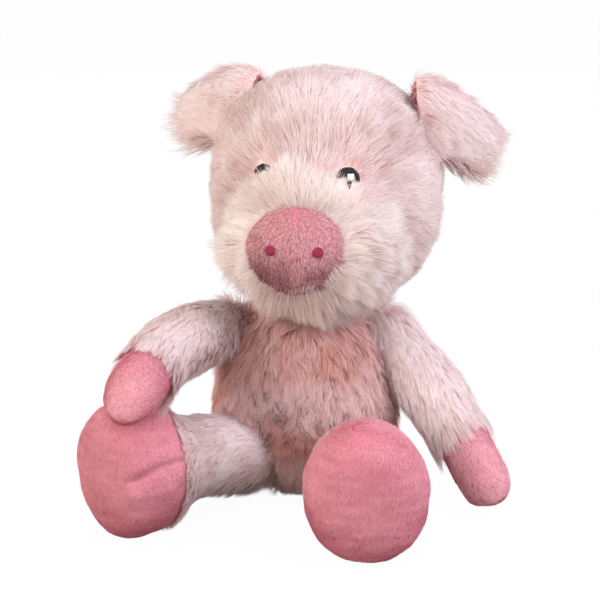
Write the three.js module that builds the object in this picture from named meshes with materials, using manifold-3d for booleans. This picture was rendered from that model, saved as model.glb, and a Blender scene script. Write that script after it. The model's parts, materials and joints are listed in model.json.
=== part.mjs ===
// Plush pig, sitting: fur and short pile skins over stuffing, with limbs, head, ears and tail that swing.
// Sizes are in millimetres. x runs to the toy's left, y to its back and z up; the toy faces -y.
import * as THREE from "three";
import { mergeVertices } from "three/addons/utils/BufferGeometryUtils.js";
import Module from "manifold-3d";

const wasm = await Module();
wasm.setup();

// Cloth and clearances
const FUR_WALL = 2.6;
const PILE_WALL = 1.8;
const CLEARANCE = 0.35;
const FLOOR_FLAT_DEPTH = 0.5;
const CUT_OVERRUN = 40;
const CLOSING_GAP = 0.8;
const CLOSING_LENGTH = 42;
const CLOSING_HEIGHT = 58;

// Torso: a pear standing on its seat
const TORSO_HEIGHT = 121;
const TORSO_WIDTH = 94;
const TORSO_DEPTH = 84;
const TORSO_X = 3;
const BELLY_BOW = 5;
const TORSO_TAPER_SHARE = 0.25;
const TORSO_FULLNESS = 2.3;
const POUCH_HEIGHT = 34;
const POUCH_WIDTH = 56;
const POUCH_DEPTH = 44;
const POUCH_TAPER_SHARE = 0.15;
const POUCH_FULLNESS = 2;

// Neck: the gathered roll between body and head
const NECK_RADIUS = 28;
const NECK_SINK = 4;
const NECK_X = 6;
const NECK_TURN_DEG = 25;
const NOD_DOWN_DEG = 12;
const NOD_UP_DEG = 15;

// Head, turned a little to the toy's right
const HEAD_WIDTH = 118;
const HEAD_HEIGHT = 120;
const HEAD_DEPTH = 102;
const HEAD_RISE = 53;
const HEAD_X = 8;
const HEAD_Y = -2;
const HEAD_YAW_DEG = 14;
const HEAD_FULLNESS = 2.3;
const HEAD_TAPER_SHARE = 0.05;

// Muzzle, snout and face
const MUZZLE_WIDTH = 78;
const MUZZLE_HEIGHT = 60;
const MUZZLE_LENGTH = 46;
const MUZZLE_DROP = 25;
const MUZZLE_STAND = 12;
const MUZZLE_FULLNESS = 2.1;
const MUZZLE_TAPER_SHARE = 0.06;
const SNOUT_WIDTH = 52;
const SNOUT_HEIGHT = 44;
const SNOUT_LENGTH = 26;
const SNOUT_RISE = 2;
const SNOUT_STAND = 7;
const SNOUT_FULLNESS = 2.3;
const SNOUT_TAPER_SHARE = 0.05;
const NOSTRIL_RADIUS = 2.9;
const NOSTRIL_SPACING = 24;
const NOSTRIL_RISE = 1.5;
const EYE_WIDTH = 11;
const EYE_HEIGHT = 8.5;
const EYE_SPACING = 43;
const EYE_RISE = 12;
const THREAD_DEPTH = 0.9;

// Ears: a panel of fur and one of short pile, folded over along the top
const EAR_FUR_WALL = 2.2;
const EAR_LEFT_FOLD_INNER_OUT = 47;
const EAR_LEFT_FOLD_INNER_RISE = 57;
const EAR_LEFT_FOLD_OUTER_OUT = 89;
const EAR_LEFT_FOLD_OUTER_RISE = 28;
const EAR_RIGHT_FOLD_INNER_OUT = 38;
const EAR_RIGHT_FOLD_INNER_RISE = 58;
const EAR_RIGHT_FOLD_OUTER_OUT = 84;
const EAR_RIGHT_FOLD_OUTER_RISE = 41;
const EAR_FOLD_INNER_BACK = 4;
const EAR_FOLD_OUTER_BACK = 22;
const EAR_FOLD_ARCH = 6;
const EAR_FLAP_LENGTH = 48;
const EAR_TIP_LENGTH = 25;
const EAR_OPENING = 8.5;
const EAR_SWING_DEG = 18;
const EAR_ROWS = 5;
const EAR_COLUMNS = 12;
const EAR_SEAM_TOP_OUT = 42;
const EAR_SEAM_TOP_BACK = 13;
const EAR_SEAM_TOP_RISE = 41;
const EAR_SEAM_FOOT_OUT = 51.5;
const EAR_SEAM_FOOT_BACK = 21;
const EAR_SEAM_FOOT_RISE = 14;
const EAR_FRONT_INNER_SHARE = new THREE.Vector3(0.22, -0.1, -0.97);
const EAR_BACK_INNER_SHARE = new THREE.Vector3(-0.32, 0.05, -1);
const EAR_LEFT_FRONT_OUTER_SHARE = new THREE.Vector3(-0.5, 0, -0.87);
const EAR_LEFT_BACK_OUTER_SHARE = new THREE.Vector3(-0.6, 0, -1.15);
const EAR_RIGHT_FRONT_OUTER_SHARE = new THREE.Vector3(-0.15, 0, -0.95);
const EAR_RIGHT_BACK_OUTER_SHARE = new THREE.Vector3(-0.1, 0, -1.25);
const EAR_FOLD_SHARE = 0.1;
const EAR_CURL_SHARE = 0.24;

// Arms
const ARM_LENGTH = 116;
const ARM_RADIUS = 16.5;
const ARM_BALL_RADIUS = 13;
const ARM_LEFT_CUFF_SHARE = 0.61;
const ARM_RIGHT_CUFF_SHARE = 0.7;
const ARM_BOW = 7;
const SHOULDER_HEIGHT = 90;
const SHOULDER_STAND = 5;
const ARM_TUBE_RINGS = 6;
const ARM_LEFT = { shoulderDeg: 92, bearingDeg: 47, dropDeg: 46, bowShares: [1, 0, 1], low: -20, high: 75 };
const ARM_RIGHT = { shoulderDeg: -92, bearingDeg: -24, dropDeg: 6.5, bowShares: [-1, 0, 3], low: 0, high: 45 };
const ARM_RADIUS_SHARES = [0, 0.1, 0.7, 1, 1, 0.85, 0.55, 0.45, 0.5, 0.45, 0.35];

// Legs and feet
const LEG_RADIUS = 20;
const HIP_BALL_RADIUS = 20;
const FOOT_WIDTH = 64;
const FOOT_HEIGHT = 72;
const FOOT_THICKNESS = 40;
const FOOT_TIP_ROUND = 17;
const HIP_HEIGHT = 26;
const HIP_STAND = -5;
const LEG_TUBE_RINGS = 9;
const LEG_PASSES = 4;
const LEG_LEFT_LENGTH = 98;
const LEG_RIGHT_LENGTH = 100;
const LEG_LEFT = { length: LEG_LEFT_LENGTH, hipDeg: 38, bearingDeg: 3, low: -30, high: 8 };
const LEG_RIGHT = { length: LEG_RIGHT_LENGTH, hipDeg: -50, bearingDeg: -50, low: -30, high: 0 };
const FOOT_RADIUS_SHARES = [0, -0.02, -0.02, 0, 0.03, 0.2, 0.82, 1, 1, 0.96, 0.9];

// Tail
const TAIL_RADIUS = 4.5;
const TAIL_CURL_RADIUS = 8;
const TAIL_PITCH = 9;
const TAIL_HEIGHT = 34;
const TAIL_REACH = 9;
const TAIL_SINK = 5;
const TAIL_TURNS_SHARE = 1.15;
const TAIL_STRAIGHT_SHARE = 0.18;
const TAIL_TAPER_SHARE = 0.4;
const TAIL_TIP_FULLNESS = 8;
const TAIL_SWING_DEG = 20;
const TAIL_RINGS = 22;
const TAIL_SIDES = 10;

// Facets
const FORM_SIDES = 20;
const FORM_RINGS = 10;
const LEG_SIDES = 16;
const ARM_SIDES = 14;
const SMALL_SIDES = 12;
const BALL_SIDES = 12;
const NECK_SIDES = 20;
const POINT_SIZE = 0.01;
const SMALL_SHARE = 0.002;
const SWING_STEP_DEG = 8;
const BALL_RINGS_SHARE = 0.6;
const BALL_RING_SHARES = [0.85, 0.5];
const TIP_RING_SHARES = [0.35, 0.65, 0.87, 0.97];
const ROOT_SHARE = 0.6;
const CORE_SHARE = 0.85;

const FUR = { color: 0xf6e1e3, roughness: 0.95, metalness: 0 };
const RUFF = { color: 0xf3ebe8, roughness: 0.95, metalness: 0 };
const PILE = { color: 0xe487a0, roughness: 0.85, metalness: 0 };
const LINING = { color: 0xd27888, roughness: 0.85, metalness: 0 };
const STUFFING = { color: 0xf4f2ec, roughness: 1, metalness: 0 };
const POUCH = { color: 0xe9e4d6, roughness: 0.9, metalness: 0 };
const NOSTRIL_THREAD = { color: 0xbb3259, roughness: 0.6, metalness: 0 };
const EYE_THREAD = { color: 0x191920, roughness: 0.4, metalness: 0 };

const UP = new THREE.Vector3(0, 0, 1);
const LEFT = new THREE.Vector3(1, 0, 0);
const vec = (x, y, z) => new THREE.Vector3(x, y, z);
const radians = THREE.MathUtils.degToRad;

// Solids and geometries

function solidOf(geometry) {
  const bare = geometry.clone();
  bare.deleteAttribute("normal");
  bare.deleteAttribute("uv");
  const merged = mergeVertices(bare);
  return new wasm.Manifold(
    new wasm.Mesh({
      numProp: 3,
      vertProperties: merged.attributes.position.array,
      triVerts: new Uint32Array(merged.index.array),
    }),
  );
}

function geometryOf(solid) {
  const mesh = solid.getMesh();
  const geometry = new THREE.BufferGeometry();
  geometry.setAttribute("position", new THREE.BufferAttribute(mesh.vertProperties, mesh.numProp));
  geometry.setIndex(new THREE.BufferAttribute(mesh.triVerts, 1));
  return geometry;
}

// The solid between rings of points; a ring of one point closes an end, and a closed loft joins its ends.
function loft(rings, closed = false) {
  const positions = [];
  const faces = [];
  const starts = [];
  for (const ring of rings) {
    starts.push(positions.length / 3);
    for (const point of ring) positions.push(...point);
  }
  const pairs = rings.map((ring, k) => [k, (k + 1) % rings.length]);
  if (!closed) pairs.pop();
  for (const [a, b] of pairs) {
    const sides = Math.max(rings[a].length, rings[b].length);
    for (let i = 0; i < sides; i++) {
      const next = (i + 1) % sides;
      const corner = (ring, step) => starts[ring] + (rings[ring].length === 1 ? 0 : step);
      if (rings[a].length > 1) faces.push(corner(a, i), corner(a, next), corner(b, next));
      if (rings[b].length > 1) faces.push(corner(a, i), corner(b, next), corner(b, i));
    }
  }
  const geometry = new THREE.BufferGeometry();
  geometry.setAttribute("position", new THREE.Float32BufferAttribute(positions, 3));
  geometry.setIndex(faces);
  return solidOf(geometry);
}

// An oval of points round a centre, square to the forward direction; no size gives one point.
function oval(centre, forward, across, halfAcross, halfAlong, sides = FORM_SIDES) {
  if (Math.min(halfAcross, halfAlong) < POINT_SIZE) return [centre.clone()];
  const along = forward.clone().cross(across).normalize();
  const side = along.clone().cross(forward).normalize();
  return Array.from({ length: sides }, (_, i) => {
    const turn = (2 * Math.PI * i) / sides;
    return centre
      .clone()
      .addScaledVector(side, halfAcross * Math.cos(turn))
      .addScaledVector(along, halfAlong * Math.sin(turn));
  });
}

function ball(centre, radius, sides) {
  const geometry = new THREE.SphereGeometry(radius, sides, Math.round(BALL_RINGS_SHARE * sides));
  return solidOf(geometry.translate(centre.x, centre.y, centre.z));
}

// A ball whose facets stay outside the radius, to cut a seat that a ball turns in.
function seat(centre, radius, sides) {
  const rings = Math.round(BALL_RINGS_SHARE * sides);
  const facetShare = Math.cos(Math.PI / sides) * Math.cos(Math.PI / 2 / rings);
  return ball(centre, radius / facetShare, sides);
}

// The matrix of a turn about an axis through a pivot.
function turning(pivot, axis, degrees) {
  const matrix = new THREE.Matrix4().makeRotationAxis(axis, radians(degrees));
  const back = new THREE.Matrix4().makeTranslation(-pivot.x, -pivot.y, -pivot.z);
  return new THREE.Matrix4().makeTranslation(pivot.x, pivot.y, pivot.z).multiply(matrix).multiply(back);
}

// The solid with everything cut away that would meet the obstacle as the joint swings.
function clearedOf(solid, obstacle, { pivot, axis, low, high }) {
  const stops = [0];
  for (const limit of [low, high]) {
    const steps = Math.ceil(Math.abs(limit) / SWING_STEP_DEG);
    for (let k = 1; k <= steps; k++) stops.push((limit * k) / steps);
  }
  let result = solid;
  for (const degrees of stops) {
    const met = geometryOf(obstacle).applyMatrix4(turning(pivot, axis, -degrees));
    result = result.subtract(solidOf(met));
  }
  return largestOf(result);
}

function largestOf(solid) {
  const bodies = solid.decompose();
  return bodies.reduce((best, body) => (body.volume() > best.volume() ? body : best));
}

function aboveFloor(solid) {
  const reach = TORSO_HEIGHT + HEAD_HEIGHT;
  const slab = new THREE.BoxGeometry(2 * reach, 2 * reach, CUT_OVERRUN);
  return solid.subtract(solidOf(slab.translate(0, 0, -CUT_OVERRUN / 2)));
}

function piece(name, solid, look) {
  const mesh = new THREE.Mesh(geometryOf(solid), new THREE.MeshStandardMaterial(look));
  mesh.name = name;
  return mesh;
}

// Stuffed forms

// A body that swells from a point, tapers and closes again: base and top are the ends of its spine.
function stuffed(form, inset = 0) {
  const spine = form.top.clone().sub(form.base);
  const forward = spine.clone().normalize();
  const start = form.base.clone().addScaledVector(forward, inset);
  const end = form.top.clone().addScaledVector(forward, -inset);
  const rings = Array.from({ length: FORM_RINGS + 1 }, (_, k) => {
    const share = (1 - Math.cos((Math.PI * k) / FORM_RINGS)) / 2;
    const place = 2 * share - 1;
    const round = Math.pow(Math.max(0, 1 - Math.pow(Math.abs(place), form.fullness)), 1 / form.fullness);
    const swell = k % FORM_RINGS === 0 ? 0 : round * (1 - form.taperShare * place);
    const centre = start.clone().lerp(end, share);
    centre.addScaledVector(form.bow, 1 - place * place);
    const halfWidth = (form.halfWidth - inset) * swell;
    return oval(centre, forward, form.across, halfWidth, (form.halfDepth - inset) * swell);
  });
  return loft(rings);
}

// A limb: a ball at its pivot, a bent tube whose radius follows shares of its reach, and a round tip.
class Limb {
  constructor(size) {
    Object.assign(this, size);
    this.length = this.spine.getLength();
    const points = this.radiusShares.map((share, i) => new THREE.Vector2(i, share));
    this.outline = new THREE.SplineCurve(points);
  }

  ring(reach, inset) {
    const { length, spine, ballRadius, tipRound } = this;
    const share = THREE.MathUtils.clamp(reach / length, 0, 1);
    const centre = spine.getPointAt(share);
    const forward = spine.getTangentAt(share);
    if (reach < 0) centre.addScaledVector(forward, reach);
    const swell = this.outline.getPoint(share).y;
    const intoTip = Math.max(0, (reach - (length - tipRound)) / (tipRound - inset));
    const intoBall = Math.max(0, -reach / (ballRadius - inset));
    const closing = Math.sqrt(Math.max(0, 1 - intoTip * intoTip) * Math.max(0, 1 - intoBall * intoBall));
    const width = this.limbRadius + (this.endHalfWidth - this.limbRadius) * swell;
    const height = this.limbRadius + (this.endHalfHeight - this.limbRadius) * swell;
    const across = UP.clone().cross(forward).normalize();
    return oval(centre, forward, across, (width - inset) * closing, (height - inset) * closing, this.sides);
  }

  // Where its rings stand between two reaches, closer together at the ball and at the tip.
  reaches(from, to, inset) {
    const tube = this.length - this.tipRound;
    const all = BALL_RING_SHARES.map((share) => -share * (this.ballRadius - inset));
    for (let k = 0; k <= this.tubeRings; k++) all.push((tube * k) / this.tubeRings);
    for (const share of TIP_RING_SHARES) all.push(tube + share * (this.tipRound - inset));
    const margin = tube / this.tubeRings / 4;
    return [from, ...all.filter((reach) => reach > from + margin && reach < to - margin / 4), to];
  }

  rings(from, to, inset) {
    return this.reaches(from, to, inset).map((reach) => this.ring(reach, inset));
  }

  get root() {
    return -ROOT_SHARE * this.ballRadius;
  }

  tip(inset) {
    return this.length - inset;
  }

  // A skin open at both ends.
  sleeve(from, to, wall) {
    const outer = this.rings(from, to, 0);
    const inner = this.rings(from, to, wall).reverse();
    return loft([...outer, ...inner], true);
  }

  // A skin open at its start and closed at the tip.
  cap(from, wall) {
    const outer = this.rings(from, this.tip(0), 0);
    const inner = this.rings(from, this.tip(wall), wall).reverse();
    return loft([...inner, ...outer]);
  }

  // The stuffing, which bulges a little through the opening at the root.
  core(inset) {
    const rings = this.rings(-CORE_SHARE * (this.ballRadius - inset), this.tip(inset), inset);
    const spread = rings[0].reduce((sum, point) => sum.add(point), new THREE.Vector3());
    return loft([[spread.divideScalar(rings[0].length)], ...rings]);
  }
}

// Main forms

const neckCentre = vec(NECK_X, 0, TORSO_HEIGHT - NECK_SINK);
const headCentre = neckCentre.clone().add(vec(HEAD_X, HEAD_Y, HEAD_RISE));
const headTurn = radians(-HEAD_YAW_DEG);
const headAcross = vec(Math.cos(headTurn), Math.sin(headTurn), 0);
const headForward = vec(Math.sin(headTurn), -Math.cos(headTurn), 0);

const torsoForm = {
  base: vec(TORSO_X, 0, -FLOOR_FLAT_DEPTH),
  top: vec(TORSO_X, 0, TORSO_HEIGHT),
  bow: vec(0, -BELLY_BOW, 0),
  across: LEFT,
  halfWidth: TORSO_WIDTH / 2,
  halfDepth: TORSO_DEPTH / 2,
  fullness: TORSO_FULLNESS,
  taperShare: TORSO_TAPER_SHARE,
};

const pouchForm = {
  base: vec(TORSO_X, 0, 0),
  top: vec(TORSO_X, 0, POUCH_HEIGHT),
  bow: vec(0, -BELLY_BOW, 0),
  across: LEFT,
  halfWidth: POUCH_WIDTH / 2,
  halfDepth: POUCH_DEPTH / 2,
  fullness: POUCH_FULLNESS,
  taperShare: POUCH_TAPER_SHARE,
};

// A point in the head's frame, from its centre: out to its left, back and up.
function onHead(out, back, rise) {
  const level = headCentre.clone().addScaledVector(headAcross, out).addScaledVector(headForward, -back);
  return level.addScaledVector(UP, rise);
}

const headForm = {
  base: onHead(0, 0, -HEAD_HEIGHT / 2),
  top: onHead(0, 0, HEAD_HEIGHT / 2),
  bow: vec(0, 0, 0),
  across: headAcross,
  halfWidth: HEAD_WIDTH / 2,
  halfDepth: HEAD_DEPTH / 2,
  fullness: HEAD_FULLNESS,
  taperShare: HEAD_TAPER_SHARE,
};

const muzzleFront = HEAD_DEPTH / 2 + MUZZLE_STAND;
const muzzleForm = {
  base: onHead(0, MUZZLE_LENGTH - muzzleFront, -MUZZLE_DROP),
  top: onHead(0, -muzzleFront, -MUZZLE_DROP),
  bow: vec(0, 0, 0),
  across: headAcross,
  halfWidth: MUZZLE_WIDTH / 2,
  halfDepth: MUZZLE_HEIGHT / 2,
  fullness: MUZZLE_FULLNESS,
  taperShare: MUZZLE_TAPER_SHARE,
};

const snoutFront = muzzleFront + SNOUT_STAND;
const snoutRise = SNOUT_RISE - MUZZLE_DROP;
const snoutForm = {
  base: onHead(0, SNOUT_LENGTH - snoutFront, snoutRise),
  top: onHead(0, -snoutFront, snoutRise),
  bow: vec(0, 0, 0),
  across: headAcross,
  halfWidth: SNOUT_WIDTH / 2,
  halfDepth: SNOUT_HEIGHT / 2,
  fullness: SNOUT_FULLNESS,
  taperShare: SNOUT_TAPER_SHARE,
};

// Where a torso side is met, going round from the front, at a height above the floor.
function torsoSide(height, bearingDeg, stand) {
  const heightShare = (height + FLOOR_FLAT_DEPTH) / (TORSO_HEIGHT + FLOOR_FLAT_DEPTH);
  const place = 2 * heightShare - 1;
  const round = Math.pow(1 - Math.pow(Math.abs(place), TORSO_FULLNESS), 1 / TORSO_FULLNESS);
  const swell = round * (1 - TORSO_TAPER_SHARE * place);
  const bearing = radians(bearingDeg);
  const halfWidth = (TORSO_WIDTH / 2) * swell + stand;
  const halfDepth = (TORSO_DEPTH / 2) * swell + stand;
  const bow = BELLY_BOW * (1 - place * place);
  return vec(TORSO_X + halfWidth * Math.sin(bearing), -bow - halfDepth * Math.cos(bearing), height);
}

// A direction that turns from straight ahead to the toy's left, and drops below level.
function heading(bearingDeg, dropDeg) {
  const bearing = radians(bearingDeg);
  const drop = radians(dropDeg);
  return vec(Math.sin(bearing) * Math.cos(drop), -Math.cos(bearing) * Math.cos(drop), -Math.sin(drop));
}

// Limbs

function makeArm({ shoulderDeg, bearingDeg, dropDeg, bowShares }) {
  const pivot = torsoSide(SHOULDER_HEIGHT, shoulderDeg, SHOULDER_STAND);
  const tip = pivot.clone().addScaledVector(heading(bearingDeg, dropDeg), ARM_LENGTH);
  const middle = pivot.clone().lerp(tip, 0.5).addScaledVector(vec(...bowShares), ARM_BOW);
  return new Limb({
    pivot,
    spine: new THREE.QuadraticBezierCurve3(pivot, middle, tip),
    ballRadius: ARM_BALL_RADIUS,
    limbRadius: ARM_BALL_RADIUS,
    endHalfWidth: ARM_RADIUS,
    endHalfHeight: ARM_RADIUS,
    radiusShares: ARM_RADIUS_SHARES,
    tipRound: ARM_BALL_RADIUS,
    tubeRings: ARM_TUBE_RINGS,
    sides: ARM_SIDES,
  });
}

// A leg whose foot rests on the floor: its far end is raised until the lowest point is right.
function makeLeg({ length, hipDeg, bearingDeg }) {
  const pivot = torsoSide(HIP_HEIGHT, hipDeg, HIP_STAND);
  const out = heading(bearingDeg, 0);
  let soleRise = FOOT_HEIGHT / 2 - HIP_HEIGHT;
  let leg;
  for (let pass = 0; pass < LEG_PASSES; pass++) {
    const rise = vec(0, 0, soleRise);
    leg = new Limb({
      pivot,
      spine: new THREE.QuadraticBezierCurve3(
        pivot,
        pivot.clone().addScaledVector(out, length / 2).add(rise),
        pivot.clone().addScaledVector(out, length).add(rise),
      ),
      ballRadius: HIP_BALL_RADIUS,
      limbRadius: LEG_RADIUS,
      endHalfWidth: FOOT_WIDTH / 2,
      endHalfHeight: FOOT_HEIGHT / 2,
      radiusShares: FOOT_RADIUS_SHARES,
      tipRound: FOOT_TIP_ROUND,
      tubeRings: LEG_TUBE_RINGS,
      sides: LEG_SIDES,
    });
    const points = leg.rings(0, leg.tip(0), 0).flat();
    const lowest = Math.min(...points.map((point) => point.z));
    soleRise -= lowest + FLOOR_FLAT_DEPTH;
  }
  return leg;
}

const cuffShares = { arm_left: ARM_LEFT_CUFF_SHARE, arm_right: ARM_RIGHT_CUFF_SHARE };

const limbs = {
  arm_left: makeArm(ARM_LEFT),
  arm_right: makeArm(ARM_RIGHT),
  leg_left: makeLeg(LEG_LEFT),
  leg_right: makeLeg(LEG_RIGHT),
};

// Joints: what each body swings about, and how far

// The swing about a level axis that lifts what points along the bearing when the angle grows.
function liftHinge(pivot, bearingDeg, { low, high }) {
  const bearing = radians(bearingDeg);
  return { pivot, axis: vec(-Math.cos(bearing), -Math.sin(bearing), 0), low, high };
}

// An ear swings back about the seam of its back flap, which stays on the head.
// Its front flap lies against the head.
function earHinge(side) {
  const top = onHead(side * EAR_SEAM_TOP_OUT, EAR_SEAM_TOP_BACK, EAR_SEAM_TOP_RISE);
  const foot = onHead(side * EAR_SEAM_FOOT_OUT, EAR_SEAM_FOOT_BACK, EAR_SEAM_FOOT_RISE);
  return {
    pivot: top.clone().lerp(foot, 0.5),
    axis: foot.sub(top).normalize(),
    low: side > 0 ? -EAR_SWING_DEG : 0,
    high: side > 0 ? 0 : EAR_SWING_DEG,
  };
}

const hinges = {
  neck: { pivot: neckCentre, axis: UP, low: -NECK_TURN_DEG, high: NECK_TURN_DEG },
  head: { pivot: neckCentre, axis: headAcross.clone().negate(), low: -NOD_DOWN_DEG, high: NOD_UP_DEG },
  ear_left: earHinge(1),
  ear_right: earHinge(-1),
  arm_left: liftHinge(limbs.arm_left.pivot, 0, ARM_LEFT),
  arm_right: liftHinge(limbs.arm_right.pivot, 0, ARM_RIGHT),
  leg_left: liftHinge(limbs.leg_left.pivot, LEG_LEFT.bearingDeg, LEG_LEFT),
  leg_right: liftHinge(limbs.leg_right.pivot, LEG_RIGHT.bearingDeg, LEG_RIGHT),
  tail: { pivot: torsoSide(TAIL_HEIGHT, 180, 0), axis: UP, low: -TAIL_SWING_DEG, high: TAIL_SWING_DEG },
};

// Torso: skin, stuffing and the pouch of pellets in the seat

function torsoLayer(inset) {
  let layer = stuffed(torsoForm, inset);
  for (const limb of Object.values(limbs)) {
    layer = layer.subtract(seat(limb.pivot, limb.ballRadius + CLEARANCE + inset, BALL_SIDES));
  }
  return layer.subtract(seat(neckCentre, NECK_RADIUS + CLEARANCE + inset, NECK_SIDES));
}

// The slit at the back that the stuffing goes in through, sewn shut by hand.
function closingSlit() {
  const slit = new THREE.BoxGeometry(CLOSING_GAP, TORSO_DEPTH, CLOSING_LENGTH);
  return solidOf(slit.translate(TORSO_X, TORSO_DEPTH / 2, CLOSING_HEIGHT));
}

function makeTorso() {
  const stuffingRoom = torsoLayer(FUR_WALL + CLEARANCE);
  const skin = aboveFloor(torsoLayer(0)).subtract(torsoLayer(FUR_WALL)).subtract(closingSlit());
  return [
    piece("torso_skin", skin, FUR),
    piece("torso_stuffing", stuffingRoom.subtract(stuffed(pouchForm, -CLEARANCE)), STUFFING),
    piece("pellet_pouch", stuffed(pouchForm).intersect(stuffingRoom), POUCH),
  ];
}

// Head: skin, muzzle panel and snout, each with its stuffing, open behind the next

function makeHead() {
  const headLayer = (inset) =>
    stuffed(headForm, inset).subtract(seat(neckCentre, NECK_RADIUS + CLEARANCE + inset, NECK_SIDES));
  const headSkin = headLayer(0).subtract(headLayer(FUR_WALL)).subtract(stuffed(muzzleForm, FUR_WALL));
  const muzzleRoom = stuffed(muzzleForm, FUR_WALL);
  const muzzlePanel = stuffed(muzzleForm)
    .subtract(muzzleRoom)
    .subtract(stuffed(headForm, -CLEARANCE))
    .subtract(stuffed(snoutForm, PILE_WALL));
  const snoutSkin = stuffed(snoutForm)
    .subtract(stuffed(snoutForm, PILE_WALL))
    .subtract(stuffed(muzzleForm, -CLEARANCE));
  const muzzleStuffing = stuffed(muzzleForm, FUR_WALL + CLEARANCE).subtract(stuffed(headForm, FUR_WALL));
  const snoutStuffing = stuffed(snoutForm, PILE_WALL + CLEARANCE).subtract(muzzleRoom);
  return [
    piece("head_skin", headSkin, FUR),
    piece("head_stuffing", headLayer(FUR_WALL + CLEARANCE), STUFFING),
    piece("muzzle_panel", largestOf(muzzlePanel), RUFF),
    piece("muzzle_stuffing", muzzleStuffing, STUFFING),
    piece("snout_skin", largestOf(snoutSkin), PILE),
    piece("snout_stuffing", snoutStuffing, STUFFING),
  ];
}

// A patch of satin stitches on the front of a form, out and up from its middle.
function stitched(form, out, rise, width, height) {
  const middle = form.base.clone().lerp(form.top, 0.5);
  const start = middle.addScaledVector(headAcross, out).addScaledVector(UP, rise);
  const ends = [start, start.clone().addScaledVector(headForward, HEAD_DEPTH)];
  const rings = ends.map((end) => oval(end, headForward, headAcross, width / 2, height / 2, SMALL_SIDES));
  const prism = loft([[ends[0]], ...rings, [ends[1]]]);
  const thread = stuffed(form, -CLEARANCE - THREAD_DEPTH).subtract(stuffed(form, -CLEARANCE));
  return largestOf(thread.intersect(prism));
}

function makeFace() {
  const sides = { left: 0.5, right: -0.5 };
  return Object.entries(sides).flatMap(([name, share]) => [
    piece(
      "eye_" + name,
      stitched(headForm, EYE_SPACING * share, EYE_RISE, EYE_WIDTH, EYE_HEIGHT),
      EYE_THREAD,
    ),
    piece(
      "nostril_" + name,
      stitched(snoutForm, NOSTRIL_SPACING * share, NOSTRIL_RISE, 2 * NOSTRIL_RADIUS, 2 * NOSTRIL_RADIUS),
      NOSTRIL_THREAD,
    ),
  ]);
}

// Ears: panels folded over a sloping line, with a front flap and a back flap sewn to the head

// The two ends of the line that an ear is folded along, and how its two flaps hang from the outer end.
function earFold(side) {
  if (side > 0) {
    return {
      inner: vec(EAR_LEFT_FOLD_INNER_OUT, EAR_FOLD_INNER_BACK, EAR_LEFT_FOLD_INNER_RISE),
      outer: vec(EAR_LEFT_FOLD_OUTER_OUT, EAR_FOLD_OUTER_BACK, EAR_LEFT_FOLD_OUTER_RISE),
      frontWay: EAR_LEFT_FRONT_OUTER_SHARE,
      backWay: EAR_LEFT_BACK_OUTER_SHARE,
    };
  }
  return {
    inner: vec(EAR_RIGHT_FOLD_INNER_OUT, EAR_FOLD_INNER_BACK, EAR_RIGHT_FOLD_INNER_RISE),
    outer: vec(EAR_RIGHT_FOLD_OUTER_OUT, EAR_FOLD_OUTER_BACK, EAR_RIGHT_FOLD_OUTER_RISE),
    frontWay: EAR_RIGHT_FRONT_OUTER_SHARE,
    backWay: EAR_RIGHT_BACK_OUTER_SHARE,
  };
}

// The sheet's point from the inner end of the fold to its outer end, and from the back hem to the front hem.
function earPoint(side, along, across) {
  const { inner, outer, frontWay, backWay } = earFold(side);
  const front = across > 0;
  const hangInner = (front ? EAR_FRONT_INNER_SHARE : EAR_BACK_INNER_SHARE).clone();
  const hangOuter = (front ? frontWay : backWay).clone();
  hangInner.multiplyScalar(EAR_FLAP_LENGTH);
  hangOuter.multiplyScalar(EAR_TIP_LENGTH);
  const hang = hangInner.lerp(hangOuter, along);
  const drop = Math.hypot(across, EAR_FOLD_SHARE) - EAR_FOLD_SHARE;
  const point = inner.lerp(outer, along).addScaledVector(hang, drop);
  point.z += EAR_FOLD_ARCH * 4 * along * (1 - along);
  point.y -= EAR_OPENING * Math.tanh(across / EAR_CURL_SHARE);
  return onHead(side * point.x, point.y, point.z);
}

// A panel between two offsets from the ear's sheet.
function earPanel(side, low, high) {
  const rows = EAR_ROWS;
  const columns = EAR_COLUMNS;
  const positions = [];
  const faces = [];
  const quad = (a, b, c, d) => faces.push(...(side < 0 ? [a, b, c, a, c, d] : [a, c, b, a, d, c]));
  for (const offset of [low, high]) {
    for (let i = 0; i <= rows; i++) {
      for (let j = 0; j <= columns; j++) {
        const along = i / rows;
        const across = (2 * j) / columns - 1;
        const point = earPoint(side, along, across);
        const rowWay = earPoint(side, along + SMALL_SHARE, across).sub(point);
        const columnWay = earPoint(side, along, across + SMALL_SHARE).sub(point);
        const normal = rowWay.cross(columnWay).normalize();
        positions.push(...point.addScaledVector(normal, -side * offset));
      }
    }
  }
  const corner = (layer, i, j) => (layer * (rows + 1) + i) * (columns + 1) + j;
  for (let i = 0; i < rows; i++) {
    for (let j = 0; j < columns; j++) {
      quad(corner(1, i, j), corner(1, i + 1, j), corner(1, i + 1, j + 1), corner(1, i, j + 1));
      quad(corner(0, i, j), corner(0, i, j + 1), corner(0, i + 1, j + 1), corner(0, i + 1, j));
    }
  }
  for (let i = 0; i < rows; i++) {
    quad(corner(0, i, 0), corner(0, i + 1, 0), corner(1, i + 1, 0), corner(1, i, 0));
    quad(corner(1, i, columns), corner(1, i + 1, columns), corner(0, i + 1, columns), corner(0, i, columns));
  }
  for (let j = 0; j < columns; j++) {
    quad(corner(1, 0, j), corner(1, 0, j + 1), corner(0, 0, j + 1), corner(0, 0, j));
    quad(corner(0, rows, j), corner(0, rows, j + 1), corner(1, rows, j + 1), corner(1, rows, j));
  }
  const geometry = new THREE.BufferGeometry();
  geometry.setAttribute("position", new THREE.Float32BufferAttribute(positions, 3));
  geometry.setIndex(faces);
  return solidOf(geometry);
}

const headShell = stuffed(headForm, -CLEARANCE);

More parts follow.
